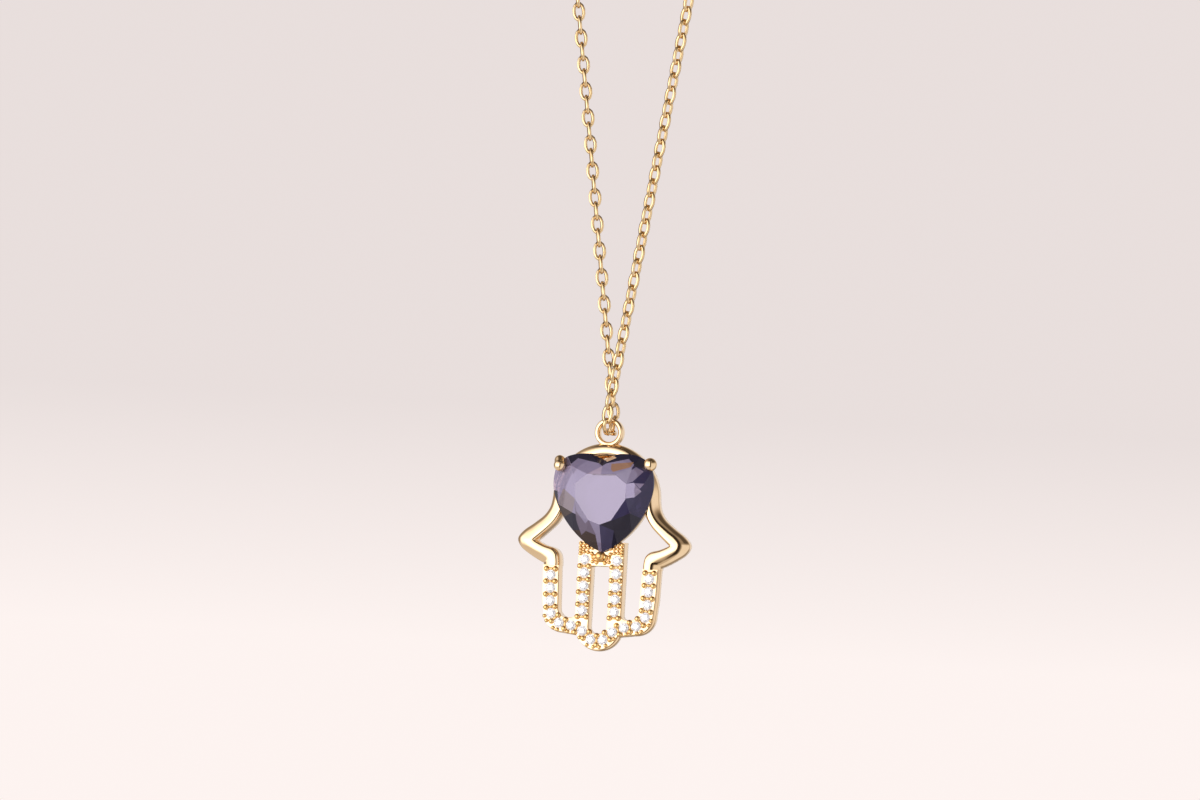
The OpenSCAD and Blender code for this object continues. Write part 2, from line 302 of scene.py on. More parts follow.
def bandStations():
    def arcStation(degrees):
        a = math.radians(degrees)
        middle = band["arcTop"] - band["arcRadius"]
        inner = band["arcRadius"] - band["arcWidth"]
        return (band["arcRadius"] * math.cos(a), middle + band["arcRadius"] * math.sin(a),
                inner * math.cos(a), middle + inner * math.sin(a), band["ridgeShift"] * (1 - math.sin(a)))

    # from the top of the arc down one side, then mirrored
    steps = band["arcSteps"]
    arc = [arcStation(90 - 90 * k / steps) for k in range(steps)]
    rows = [(*row, band["ridgeShift"]) for row in band["stations"]]
    padded = [arcStation(90 / steps)] + rows + [rows[-1]]
    below = [
        smoothBetween(*padded[i:i + 4], k / band["stepsBetweenStations"])
        for i in range(len(rows) - 1) for k in range(band["stepsBetweenStations"])
    ]
    half = arc + below + [rows[-1]]
    return [(-a, b, -c, d, shift) for a, b, c, d, shift in reversed(half[1:])] + half


def bandSection(station):
    outer, inner, shift = Vector(station[:2]), Vector(station[2:4]), station[4]
    middle, reach = (outer + inner) / 2, (outer - inner) / 2
    steps, back = band["domeSteps"], band["depth"] / 2
    flat = band["edgeRound"]
    share = flat / reach.length
    points = []
    power = 2 / band["domeSquareness"]
    for k in range(steps + 1):
        a = math.pi * k / steps
        across = math.copysign(abs(math.cos(a)) ** power, math.cos(a))
        across -= shift * (1 - across * across)
        rise = band["domeDepth"] * abs(math.sin(a)) ** power
        points.append(drawn(middle + reach * across, back - band["depth"] + band["domeDepth"] - rise))
    for side in (-1, 1):
        corner = [(1, back - flat), (1 - cornerMiddle * share, back - cornerMiddle * flat), (1 - share, back)]
        for across, y in corner if side < 0 else reversed(corner):
            points.append(drawn(middle + reach * side * across, y))
    return points


bm = bmesh.new()
sweep(bm, [bandSection(station) for station in bandStations()])
polishedBand = makePiece("polished_band", bm, castGold, "pendant", 40)
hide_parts("frame")


# Finger plate: four bars over three lobes, with a seat for each small stone and a cut across each gap.
plate = {
    "front": -0.75,
    "back": 0.65,
    "edgeRound": 0.07,
    "backRound": 0.14,
    "middleBar": (0.94, 2.33),  # its two edges
    "middleTop": -11,
    "outerBar": (4.25, 5.86),
    "outerTop": -13.46,
    "footTop": -13.6,
    "footOut": 0.12,  # how far the foot along the outer side stands out
    "footFront": -0.35,
    # shares of the foot's reach behind its front, with the depth of each
    "footSteps": [(0.3, 0.04), (0.75, 0.12), (1, 0.3)],
    "grooveDeep": 0.05,
    "spread": 0.04,  # how much the walls spread towards the back
    "dip": 0.09,  # how far the front edge of a middle bar dips beside each stone
    "dipHalfLong": 0.24,
    "dipEnd": 0.05,
    "seatRadius": 0.42,
    "stoneRadius": 0.39,
    "stoneDrop": 0.12,
    "cupRadius": 0.25,
    "cupDepth": 0.55,
    "seatSides": 20,
    "cutHalfLong": 0.55,
    "cutHalfWide": 0.125,
    "cutDepth": 0.2,
    "cutTaper": 0.05,
    "cutShort": 0.17,  # how much shorter the cuts are where the lobes meet, and where that is
    "lobesMeet": (-20.3, -19.4),
    "curveSteps": 10,
    "slotSteps": 6,
}
# Stones of the right half by row: outer bar and corner down to the lowest lobe, then the middle bar
outerStones = [(5.02, -14.45), (4.99, -15.72), (4.94, -16.98), (4.79, -18.22),
               (3.93, -19.13), (2.69, -19.31), (1.53, -19.77), (0.62, -20.6)]
middleStones = [(1.63, -12.8), (1.63, -14.1), (1.63, -15.4), (1.63, -16.6), (1.63, -17.8)]
rightStones = outerStones + middleStones
allStones = rightStones + mirrored(rightStones)


def edgePoints(x, stones):
    # points of a straight edge, from the top down, where it dips beside each stone
    reach, end = plate["dipHalfLong"], plate["dipHalfLong"] + plate["dipEnd"]
    return [(x, z + step) for _, z in stones for step in (end, reach, -reach, -end)]


def dipAt(point):
    onEdge = any(abs(abs(point[0]) - x) < 0.001 for x in plate["middleBar"])
    beside = any(abs(point[1] - z) < plate["dipHalfLong"] + plate["dipEnd"] / 2 for _, z in middleStones)
    return plate["dip"] if onEdge and beside else 0


# Right half of the outline, from the top middle round to the lowest lobe
slotSide, barSide = plate["middleBar"]
innerSide, outerSide = plate["outerBar"]
fingerInner = (
    [(0, plate["middleTop"]), (barSide, plate["middleTop"])]
    + edgePoints(barSide, middleStones[:-1])
    + arcPoints((2.78, -18.1), 0.45, 180, 270, plate["slotSteps"])
    + arcPoints((3.21, -17.65), 0.9, 270, 360, plate["curveSteps"])
    + [(innerSide, plate["outerTop"]), (outerSide, plate["outerTop"])]
)
fingerOuter = (
    [(outerSide, plate["footTop"]), (5.77, -16.5)]
    + arcPoints((3.75, -18.1), 1.85, 0, -90, plate["curveSteps"])
    + arcPoints((0, -19.35), 2.25, -21.2, -90, plate["curveSteps"])
)
fingerRight = fingerInner + fingerOuter
fingerOutline = fingerRight + mirrored(fingerRight)[1:-1]
footShares = [0] * len(fingerInner) + [1] * len(fingerOuter)  # the foot runs along the outer side only
footShares += footShares[-2:0:-1]
middleSlot = (
    arcPoints((0.79, -13.55), 0.15, 0, 90, 3)
    + arcPoints((-0.79, -13.55), 0.15, 90, 180, 3)
    + edgePoints(-slotSide, middleStones[1:])
    + arcPoints((-0.34, -19.38), 0.6, 180, 270, plate["slotSteps"])
    + arcPoints((0.34, -19.38), 0.6, 270, 360, plate["slotSteps"])
    + edgePoints(slotSide, middleStones[1:])[::-1]
)


def gapsAlong(row):
    # middle of each gap between two stones, and the direction across the bar there
    gaps = []
    for a, b in zip(row, row[1:]):
        across = Vector((b[1] - a[1], a[0] - b[0])).normalized()
        gaps.append(((Vector(a) + Vector(b)) / 2, across))
    return gaps


# one more above the topmost outer stone, one below the lowest middle stone and one on the middle line
rightGaps = gapsAlong(outerStones) + gapsAlong(middleStones)
rightGaps += [(Vector(at), Vector((1, 0))) for at in ((5.02, -13.86), (1.63, -18.42))]
allGaps = rightGaps + [(Vector((-at.x, at.y)), Vector((-across.x, across.y))) for at, across in rightGaps]
allGaps.append((Vector((0, -20.66)), Vector((0, 1))))


def dipped(point, y):
    return y + (dipAt(point) if y <= plate["front"] + plate["edgeRound"] else 0)


def plateWalls(bm, outline):
    # from the front over its edge, down the side and round to the back, with a groove and a foot outside
    front, back, footFront, groove = (plate[key] for key in ("front", "back", "footFront", "grooveDeep"))
    edge, backEdge, spread = plate["edgeRound"], plate["backRound"], plate["spread"]
    edgeMiddle, backMiddle = cornerMiddle * edge, cornerMiddle * backEdge
    # inset, share of the foot, spread and depth
    steps = [(edge, 0, 0, front), (edgeMiddle, 0, 0, front + edgeMiddle), (0, 0, 0, front + edge),
             (0, 0, 0, footFront - groove), (0, -groove, 0, footFront)]
    steps += [(0, share, 0, footFront + behind) for share, behind in plate["footSteps"]]
    steps += [(0, 1, spread, back - backEdge), (backMiddle, 1, spread, back - backMiddle),
              (backEdge, 1, spread, back)]
    loops = []
    for inset, foot, wider, y in steps:
        plain = insetOutline(outline, inset - wider)
        footed = insetOutline(outline, inset - plate["footOut"])
        loops.append([drawn(Vector(p).lerp(Vector(q), foot * share), dipped(home, y))
                      for p, q, home, share in zip(plain, footed, outline, footShares)])
    first, last = wallsThrough(bm, loops)
    return ringEdges(bm, first), ringEdges(bm, last)


def slotWalls(bm, outline):
    front, back = plate["front"], plate["back"]
    edge, backEdge, spread = plate["edgeRound"], plate["backRound"], plate["spread"]
    edgeMiddle, backMiddle = cornerMiddle * edge, cornerMiddle * backEdge
    # inset and depth
    steps = [(edge, front), (edgeMiddle, front + edgeMiddle), (0, front + edge), (-spread, back - backEdge),
             (backMiddle - spread, back - backMiddle), (backEdge - spread, back)]
    loops = [[drawn(p, dipped(home, y)) for p, home in zip(insetOutline(outline, inset), outline)]
             for inset, y in steps]
    first, last = wallsThrough(bm, loops)
    return ringEdges(bm, first), ringEdges(bm, last)


def seatWalls(bm, centre):
    # seat of one stone, narrowing to a hole through the plate
    front = plate["front"]
    steps = [(plate["seatRadius"], front), (plate["stoneRadius"], front + plate["stoneDrop"]),
             (plate["cupRadius"], front + plate["cupDepth"]), (plate["cupRadius"], plate["back"])]
    loops = [[drawn(p, y) for p in arcPoints(centre, radius, 0, 360, plate["seatSides"])[:-1]]
             for radius, y in steps]
    first, last = wallsThrough(bm, loops)
    return ringEdges(bm, first), ringEdges(bm, last)


def crossCut(bm, gap):
    # a shallow trough with round ends, closed at the bottom, and shorter where the lobes meet
    centre, across = gap
    lowest, highest = plate["lobesMeet"]
    short = plate["cutShort"] if lowest < centre.y < highest else 0
    along = Vector((-across.y, across.x))
    straight = plate["cutHalfLong"] - plate["cutHalfWide"] - short
    loops = []
    for inset, y in ((0, plate["front"]), (plate["cutTaper"], plate["front"] + plate["cutDepth"])):
        ends = [(straight + x, z) for x, z in arcPoints((0, 0), plate["cutHalfWide"] - inset, -90, 90, 5)]
        ends += [(-x, -z) for x, z in ends]
        loops.append([drawn(centre + across * x + along * z, y) for x, z in ends])
    first, last = wallsThrough(bm, loops)
    bmesh.ops.contextual_create(bm, geom=ringEdges(bm, last))
    return ringEdges(bm, first), []


bm = bmesh.new()
frontEdges, backEdges = [], []
for walls, parts in ((plateWalls, [fingerOutline]), (slotWalls, [middleSlot]), (seatWalls, allStones),
                     (crossCut, allGaps)):
    for part in parts:
        frontLoop, backLoop = walls(bm, part)
        frontEdges += frontLoop
        backEdges += backLoop
bmesh.ops.triangle_fill(bm, use_beauty=True, edges=frontEdges, normal=(0, -1, 0))
bmesh.ops.triangle_fill(bm, use_beauty=True, edges=backEdges, normal=(0, 1, 0))
makePiece("finger_plate", bm, castGold, "pendant", 35)

# Bead grains: a pair in each gap between two stones, and smaller ones along the outer curves.
grain = {
    "size": 0.58,
    "smallSize": 0.42,
    "reach": 0.45,
    "y": -0.76,
    "rings": 8,
    "saddle": (0.7, 0.3, 0.26),  # the low saddle of metal that joins a pair: across, front to back, along
    "saddleY": -0.72,
}
smallGrains = [(5.42, -18.5), (5.2, -18.95), (4.5, -19.62), (4.05, -19.78), (3.0, -19.92), (2.45, -19.98),
               (1.75, -20.45), (0.95, -21.14), (0.3, -21.3), (0.84, -12.98), (0.42, -13.08), (0.84, -12.55),
               (2.1, -12.25), (0.95, -12.2), (1.35, -12.08), (1.76, -12.06)]
# rows of grains from the stone's edge down to the topmost pair of stones
smallGrains += [(x, z) for z in (-11.25, -11.65) for x in (0.9, 1.3, 1.7, 2.1)] + [(2.1, -11.95)]
bm = bmesh.new()
for centre, across in allGaps:
    for side in (-1, 1):
        ballAt(bm, drawn(centre + across * side * grain["reach"], grain["y"]), grain["size"], grain["rings"])
    turned = Matrix.Rotation(-math.atan2(across.y, across.x), 4, "Y")
    turned = turned @ Matrix.Diagonal((*grain["saddle"], 1))
    place = Matrix.Translation(drawn(centre, grain["saddleY"])) @ turned
    bmesh.ops.create_uvsphere(bm, u_segments=12, v_segments=8, radius=0.5, matrix=place)
for x, z in smallGrains + mirrored(smallGrains):
    ballAt(bm, drawn((x, z), grain["y"]), grain["smallSize"], grain["rings"])
# the beads take the deeper gold with its painted shade
makePiece("bead_grains", bm, shadedBeadGold, "pendant", 60)

# Bail ring, a short round tube with softened edges.
bail = {
    "hole": 1.88,
    "wall": 0.5,
    "depth": 1.08,
    "round": 0.23,
    "steps": 56,
    "cornerSteps": 5,
}
bailRound = bail["round"]
bailInside = bail["hole"] / 2 + bailRound
bailOutside = bail["hole"] / 2 + bail["wall"] - bailRound
bailEnd = bail["depth"] / 2 - bailRound
bailCorners = ((bailOutside, bailEnd), (bailInside, bailEnd), (bailInside, -bailEnd), (bailOutside, -bailEnd))
bailSection = []
for quarter, corner in enumerate(bailCorners):
    bailSection += arcPoints(corner, bailRound, 90 * quarter, 90 * quarter + 90, bail["cornerSteps"])
bm = bmesh.new()
ring = startRing(bm, [Vector((x, y, bailZ)) for x, y in bailSection])
bmesh.ops.spin(bm, geom=ring + ringEdges(bm, ring), cent=(0, 0, bailZ), axis=(0, 1, 0),
               angle=2 * math.pi, steps=bail["steps"], use_merge=True)
makePiece("bail_ring", bm, castGold, "pendant", 50)

# Heart stone: a prism with the heart's outline, cut by the planes of its facets and mirrored.
heart = {
    "centre": (0, -7),
    "turn": 1.5,
    "girdleFront": -1.14,
    "girdleBack": -0.88,
    "crown": 1.05,
    "pavilion": 1.6,
    # right half from the cleft down to the tip: ends and handles of each curve, and its steps
    "curves": [
        ((0, 3.95), (0.3, 4.3), (0.7, 4.57), (1.3, 4.6), 6),
        ((1.3, 4.6), (3.9, 4.75), (5.1, 3.9), (5.1, 1.7), 18),
        ((5.1, 1.7), (5.1, -0.9), (2.5, -4.2), (0, -5.05), 24),
    ],
    # corners of the table from the top down to the middle line, and where their facets meet the girdle
    "tableCorners": [(1.4, 2.55), (2.6, 1.6), (2.55, 0.1), (1.1, -2.05), (0, -2.4)],
    "feet": [(1.9, 4.6), (4.8, 2.9), (4.95, -0.3), (3.1, -3.0), (0, -5.05)],
    # facet along the top of each lobe: two points of its lower edge and one outside, each with its height
    "lobeFacet": [(0, 3.46, 0.58), (3.3, 4.0, 0.31), (1.7, 4.62, -0.08)],
    "starShare": 0.4,
    "lowerShare": 0.5,
    # colour of each kind of facet, the violet with painted light and shade, and how clear it is
    "paintedTones": {
        "clear": (0.90, 0.88, 0.94, 1),
        "table": (0.325, 0.262, 0.455, 1),
        "pale": (0.33, 0.28, 0.45, 0.6),
        "lavender": (0.255, 0.215, 0.34, 0.35),
        "haze": (0.28, 0.22, 0.30, 0.3),
        "mauve": (0.18, 0.15, 0.24, 0.3),
        "taupe": (0.18, 0.14, 0.16, 0.3),
        "plum": (0.10, 0.075, 0.115, 0.2),
        "navy": (0.028, 0.023, 0.062, 0.1),
        "ink": (0.014, 0.012, 0.024, 0.05),
        "glint": (0.5, 0.32, 0.19, 0.2),
        "brown": (0.22, 0.115, 0.07, 0.2),
        "umber": (0.032, 0.018, 0.015, 0.1),
    },
    # painted light and shade of the right and the left side: facets to the corners from the top down, stars,
    # halves, lobe
    "facetLightAndShade": (
        ("mauve", "navy", "navy", "ink", "ink")
        + ("mauve", "mauve", "navy", "navy", "navy")
        + ("ink", "ink", "ink", "navy", "navy", "navy", "ink", "ink", "ink", "ink"),
        ("haze", "lavender", "taupe", "ink", "mauve")
        + ("mauve", "lavender", "lavender", "mauve", "mauve")
        + ("ink", "ink", "plum", "lavender", "lavender", "umber", "ink", "umber", "ink", "ink"),
    ),
    # painted lights, shades and reflections on the crown: tone and corners, anticlockwise from the front
    "patches": [
        ("brown", [(1.19, 2.79), (2.87, 3.28), (3.13, 3.8), (0.89, 3.6), (0.95, 3.0)]),
        ("mauve", [(2.6, 1.65), (3.18, 1.87), (4.13, 2.89), (3.4, 3.3), (2.2, 2.4)]),
        ("pale", [(2.57, 0.2), (3.39, 0.35), (4.03, 0.93), (3.31, 1.77), (2.6, 1.65)]),
        ("lavender", [(3.4, 1.72), (3.87, 1.19), (4.26, 1.7)]),
        ("plum", [(-2.62, -0.07), (-2.5, -1.99), (-2.0, -3.56), (-0.45, -3.4), (-1.1, -1.92)]),
        ("mauve", [(-2.62, -0.07), (-2.45, -1.1), (-1.5, -2.3), (-1.1, -1.92)]),
        ("umber", [(-1.5, -3.0), (-2.3, -3.6), (-1.49, -4.7), (-0.3, -5.0), (-0.5, -3.4)]),
        ("ink", [(-4.6, 0.9), (-5.3, 1.0), (-5.3, -1.0), (-4.5, -1.0)]),
        # painted reflection of the gold arc, seen in the cleft
        ("glint", [(-0.45, 4.3), (0.4, 3.8), (1.3, 4.2), (0.9, 4.42), (0.1, 4.45)]),
    ],
}


def heartRight():
    # right half of the outline, as smooth curves between their handles
    points = []
    for a, b, c, d, steps in heart["curves"]:
        for k in range(steps):
            t = k / steps
            w = ((1 - t) ** 3, 3 * (1 - t) ** 2 * t, 3 * (1 - t) * t * t, t ** 3)
            points.append(tuple(sum(q * p[axis] for q, p in zip(w, (a, b, c, d))) for axis in (0, 1)))
    return points + [heart["curves"][-1][3]]


def heartOutline(share):
    right = heartRight()
    return [(x * share, z * share) for x, z in right + mirrored(right)[1:-1]]


def seated(point, y):
    # point of the heart's own drawing, turned and placed as the stone sits
    a = math.radians(heart["turn"])
    x, z = point
    return drawn((heart["centre"][0] + x * math.cos(a) - z * math.sin(a),
                  heart["centre"][1] + x * math.sin(a) + z * math.cos(a)), y)


def planeThrough(a, b, c, inside):
    # a point of the plane and its outward direction
    normal = (b - a).cross(c - a).normalized()
    return a, (normal if normal.dot(inside - a) < 0 else -normal)


def meet(first, second, y):
    # point at depth y on the line where two planes cross
    (a, n), (b, m) = first, second
    rows = Matrix(((n.x, n.z), (m.x, m.z)))
    x, z = rows.inverted() @ Vector((n.dot(a) - n.y * y, m.dot(b) - m.y * y))
    return Vector((x, y, z))


def facetPlanes(girdleY, topY, share, inside):
    # one main facet to each corner, and in each gap a star and two halves that meet at a share of the height
    line = [Vector((x, girdleY, z)) for x, z in heartRight()]
    tops = [Vector((x, topY, z)) for x, z in heart["tableCorners"]]
    feet = [min(range(len(line)), key=lambda i: (Vector((line[i].x - x, line[i].z - z))).length)
            for x, z in heart["feet"]]
    mains = []
    for foot, top in zip(feet, tops):
        before, after = line[max(foot - 1, 0)], line[min(foot + 1, len(line) - 1)]
        mains.append(planeThrough(line[foot], line[foot] + after - before, top, inside))
    flip = Matrix.Scale(-1, 3, (1, 0, 0))
    neighbours = [(flip @ mains[0][0], flip @ mains[0][1])] + mains
    stars, halves = [], []
    for i, (foot, top) in enumerate(zip(feet, tops)):
        before = feet[i - 1] if i else 0
        tip = meet(neighbours[i], neighbours[i + 1], girdleY + (topY - girdleY) * share)
        stars.append(planeThrough(tops[i - 1] if i else flip @ top, top, tip, inside))
        middle = line[(before + foot) // 2] if i else line[0]
        for end in ([line[foot]] if i == 0 else [line[before], line[foot]]):
            halves.append(planeThrough(end, middle, tip, inside))
    return mains + stars + halves


bm = bmesh.new()
heartInside = Vector((1.0, -1.0, 0))
tableY, backY = heart["girdleFront"] - heart["crown"], heart["girdleBack"] + heart["pavilion"]
crownPlanes = facetPlanes(heart["girdleFront"], tableY, 1 - heart["starShare"], heartInside)
lobePoints = [Vector((x, heart["girdleFront"] - h, z)) for x, z, h in heart["lobeFacet"]]
crownPlanes.append(planeThrough(*lobePoints, heartInside))
planes = crownPlanes + facetPlanes(heart["girdleBack"], backY, heart["lowerShare"], heartInside)
sweep(bm, [[Vector((x, y, z)) for x, z in heartRight()] for y in (tableY, backY)])
for co, normal in planes:
    parts = bm.verts[:] + bm.edges[:] + bm.faces[:]
    cut = bmesh.ops.bisect_plane(bm, geom=parts, dist=1e-5, plane_co=co, plane_no=normal, clear_outer=True)
    edges = [part for part in cut["geom_cut"] if isinstance(part, bmesh.types.BMEdge)]
    if len(edges) > 2:
        bmesh.ops.contextual_create(bm, geom=edges)
middleFaces = [f for f in bm.faces if all(abs(v.co.x) < 1e-4 for v in f.verts)]
bmesh.ops.delete(bm, geom=middleFaces, context="FACES_ONLY")
bmesh.ops.mirror(bm, geom=bm.verts[:] + bm.edges[:] + bm.faces[:], axis="X", merge_dist=1e-4)
bmesh.ops.dissolve_limit(bm, angle_limit=math.radians(0.2), verts=bm.verts, edges=bm.edges)
bmesh.ops.recalc_face_normals(bm, faces=bm.faces)
lightAndShadeLayer = bm.loops.layers.float_color.new("facet_light_and_shade")
# each facet of the crown takes the painted light and shade of the plane that it lies in
for face in bm.faces:
    left = face.calc_center_median().x < 0
    facing = face.normal.copy()
    facing.x = abs(facing.x) if left == (facing.x < 0) else -abs(facing.x)
    nearest = max(range(len(crownPlanes)), key=lambda i: crownPlanes[i][1].dot(facing))
    if facing.y < -0.999:
        tone = "table"
    elif facing.y > 0.3:
        tone = "clear"
    # the girdle is painted dark as shade
    elif abs(facing.y) < 0.1:
        tone = "ink"
    else:
        tone = heart["facetLightAndShade"][left][nearest]
    for loop in face.loops:
        loop[lightAndShadeLayer] = heart["paintedTones"][tone]
# the painted lights, shades and reflections are cut into the crown facets
for tone, corners in heart["patches"]:
    parts = [f for f in bm.faces if -0.999 < f.normal.y < -0.1]
    for a, b in zip(corners, corners[1:] + corners[:1]):
        outward = Vector((b[1] - a[1], 0, a[0] - b[0]))
        whole = set(parts).union(*(f.edges for f in parts), *(f.verts for f in parts))
        made = bmesh.ops.bisect_plane(bm, geom=list(whole), dist=1e-5, plane_co=(a[0], 0, a[1]),
                                      plane_no=outward)
        parts = [f for f in made["geom"] if isinstance(f, bmesh.types.BMFace)
                 and outward.dot(f.calc_center_median() - Vector((a[0], 0, a[1]))) < 0]
    for loop in [loop for face in parts for loop in face.loops]:
        loop[lightAndShadeLayer] = heart["paintedTones"][tone]
turn = Matrix.Rotation(-math.radians(heart["turn"]), 4, "Y")
seat = Vector((heart["centre"][0], 0, handZ + heart["centre"][1]))
bmesh.ops.transform(bm, matrix=Matrix.Translation(seat) @ turn, verts=bm.verts)
heartGem = makePiece("heart_gem", bm, violetGlass, "pendant")
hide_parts("heart_stone")

# Heart seat: the ring behind the stone that carries its girdle.
heartSeatSteps = [  # share of the stone's outline, and depth
    (0.955, -0.64), (0.94, -0.64), (0.92, -0.5), (0.92, 0.62),
    (0.93, 0.7), (0.95, 0.7), (0.96, 0.62), (0.96, -0.6),
]
bm = bmesh.new()
first, last = wallsThrough(bm, [[seated(p, y) for p in heartOutline(share)] for share, y in heartSeatSteps])
bmesh.ops.bridge_loops(bm, edges=ringEdges(bm, first) + ringEdges(bm, last))
makePiece("heart_seat", bm, castGold, "pendant", 40)

# Prongs: a ball end over the stone on a shank from the band.
prongs = [
    {
        "ballAt": (4.76, -3.3), "ballY": -1.72, "ball": 1.32,
        "bendAt": (4.68, -3.28), "bendY": -1.0, "shank": 0.6,
        "footAt": (3.95, -3.7), "footY": -0.1,
    },
    {
        "ballAt": (-4.4, -3.72), "ballY": -1.78, "ball": 1.2,
        "bendAt": (-4.5, -3.25), "bendY": -1.5, "shank": 1.08,
        "footAt": (-3.95, -3.7), "footY": -0.1,
    },
]
bm = bmesh.new()
for prong in prongs:
    ball, bend, foot = (drawn(prong[key + "At"], prong[key + "Y"]) for key in ("ball", "bend", "foot"))
    ballAt(bm, ball, prong["ball"], 16)
    ballAt(bm, bend, prong["shank"], 12)
    radius = prong["shank"] / 2
    for start, end in ((bend, foot), (ball, bend)):
        along = end - start
        turnOnLathe(bm, [(0, 0), (radius, 0), (radius, along.length), (0, along.length)], start, along, 24)
makePiece("prongs", bm, castGold, "pendant", 50)

# Bottom prong: a ball between two smaller ones, on a low swelling of the bar.
tipProng = {
    "at": (-0.05, -12.42),
    "y": -0.98,
    "ball": 0.95,
    "sideBall": 0.56,
    "sideOffset": (0.52, 0.12, -0.08),
    "swelling": 1.5,
    "swellingOffset": (0, 0.2, -0.3),
    "swellingShape": (1, 0.4, 0.42),
}
bm = bmesh.new()
tip = drawn(tipProng["at"], tipProng["y"])
ballAt(bm, tip, tipProng["ball"], 14)
reach, behind, rise = tipProng["sideOffset"]
for side in (-1, 1):
    ballAt(bm, tip + Vector((reach * side, behind, rise)), tipProng["sideBall"], 10)
place = Matrix.Translation(tip + Vector(tipProng["swellingOffset"]))
place = place @ Matrix.Diagonal((*tipProng["swellingShape"], 1))
bmesh.ops.create_uvsphere(bm, u_segments=24, v_segments=12, radius=tipProng["swelling"] / 2, matrix=place)
# the bottom prong takes the same deeper gold with its painted shade
makePiece("bottom_prong", bm, shadedBeadGold, "pendant", 60)


# Small round stones, one cut and then set in every seat.
brilliant = {
    "girdle": 0.52,
    "girdleY": -0.78,
    "girdleHeight": 0.03,
    "table": 0.27,
    "crown": 0.15,
    "star": 0.39,
    "starHeight": 0.1,
    "pavilion": 0.38,
    "mains": 8,
    "turnStep": 0.9,  # turn of each stone against the last, in radians
    # painted light and shade of the facets in turn, how blue they are and how clear
    "facetLights": (1, 0.55, 0.9, 1, 0.42, 0.8, 0.97),
    "blueness": 1.03,
    "clearness": 0.15,
}
bm = bmesh.new()
mains = brilliant["mains"]
levels = [  # radius, height, corners and their turn
    (brilliant["table"], -brilliant["crown"], mains, 0.5),
    (brilliant["star"], -brilliant["starHeight"], mains, 0),
    (brilliant["girdle"], 0, 2 * mains, 0),
    (brilliant["girdle"], brilliant["girdleHeight"], 2 * mains, 0),
    (0, brilliant["pavilion"], 1, 0),
]
for radius, y, count, shift in levels:
    for k in range(count):
        a = 2 * math.pi * (k + shift) / count
        bm.verts.new((radius * math.cos(a), y, radius * math.sin(a)))
bmesh.ops.convex_hull(bm, input=bm.verts)
bmesh.ops.dissolve_limit(bm, angle_limit=math.radians(1), verts=bm.verts, edges=bm.edges)
lightAndShadeLayer = bm.loops.layers.float_color.new("facet_light_and_shade")
# each facet takes the painted light of its turn, standing for sparkle
for i, face in enumerate(bm.faces):
    light = brilliant["facetLights"][i % len(brilliant["facetLights"])]
    for loop in face.loops:
        loop[lightAndShadeLayer] = (light, light, light * brilliant["blueness"], brilliant["clearness"])
oneStone = bpy.data.meshes.new("one_small_stone")
bm.to_mesh(oneStone)
bm.free()
bm = bmesh.new()
for i, centre in enumerate(allStones):
    before = len(bm.verts)
    bm.from_mesh(oneStone)
    bm.verts.ensure_lookup_table()
    turned = Matrix.Rotation(i * brilliant["turnStep"], 4, "Y")
    place = Matrix.Translation(drawn(centre, brilliant["girdleY"]))
    bmesh.ops.transform(bm, matrix=place @ turned, verts=bm.verts[before:])
bpy.data.meshes.remove(oneStone)
makePiece("small_stones", bm, whiteStone, "pendant")


# Chain: oval links along the loop, each turned a quarter against the last.
chain = {
    "length": 450,  # with clasp and end ring
    "lean": 8.2,
    "napeRise": 0.5,
    "routeTurn": 1.4,  # the loop's own turn at the bail ring, which sets the radius of the arc round the neck
    "turnRadius": 1.3,
    "turnRise": 1.35,
    "pitch": 1.32,
    "linkLong": 2.1,
    "linkWide": 1.36,
    "wire": 0.37,
    "linkSteps": 12,
    "wireSides": 5,
    "startX": 7.42,
    "endX": -5.75,
    "neckSteps": 60,
    "turnSteps": 16,
    # turn of the links about the chain in degrees, by share of the way round
    "twists": [(0, -45), (0.35, -16), (0.65, -29), (1, 45)],
}
strandLean = math.radians(chain["lean"])
# the length is two straight strands, the arc between them and the turn through the bail ring
straightAndArc = 2 / math.tan(strandLean) + math.pi + 2 * strandLean
loopR = (chain["length"] - math.pi * chain["routeTurn"]) / straightAndArc
loopCentre = chain["napeRise"] - loopR


def neckPoint(angle):
    return Vector((loopR * math.cos(angle), 0, loopCentre + loopR * math.sin(angle)))


def chainRoute():
    # round the right side, down to the bail ring, through it and up the left side
    turnZ = bailZ + chain["turnRise"]
    radius, neckSteps, turnSteps = chain["turnRadius"], chain["neckSteps"], chain["turnSteps"]
    start, end = math.acos(chain["startX"] / loopR), math.acos(chain["endX"] / loopR)
    points = [neckPoint(start + (-strandLean - start) * k / neckSteps) for k in range(neckSteps + 1)]
    for k in range(turnSteps + 1):
        a = math.pi * k / turnSteps
        points.append(Vector((0, -radius * math.cos(a), turnZ - radius * math.sin(a))))
    back = math.pi + strandLean
    return points + [neckPoint(back + (end - back) * k / neckSteps) for k in range(neckSteps + 1)]


def walkRoute(points):
    # function for the point at a distance along the route, and the whole length
    lengths = [0]
    for a, b in zip(points, points[1:]):
        lengths.append(lengths[-1] + (b - a).length)

    def at(distance):
        distance = min(max(distance, 0), lengths[-1])
        i = next(k for k in range(1, len(lengths)) if lengths[k] >= distance - 1e-9)
        share = (distance - lengths[i - 1]) / (lengths[i] - lengths[i - 1])
        return points[i - 1].lerp(points[i], share)

    return at, lengths[-1]


def twistAt(share):
    for (start, a), (end, b) in zip(chain["twists"], chain["twists"][1:]):
        if share <= end:
            return a + (b - a) * (share - start) / (end - start)
    return chain["twists"][-1][1]


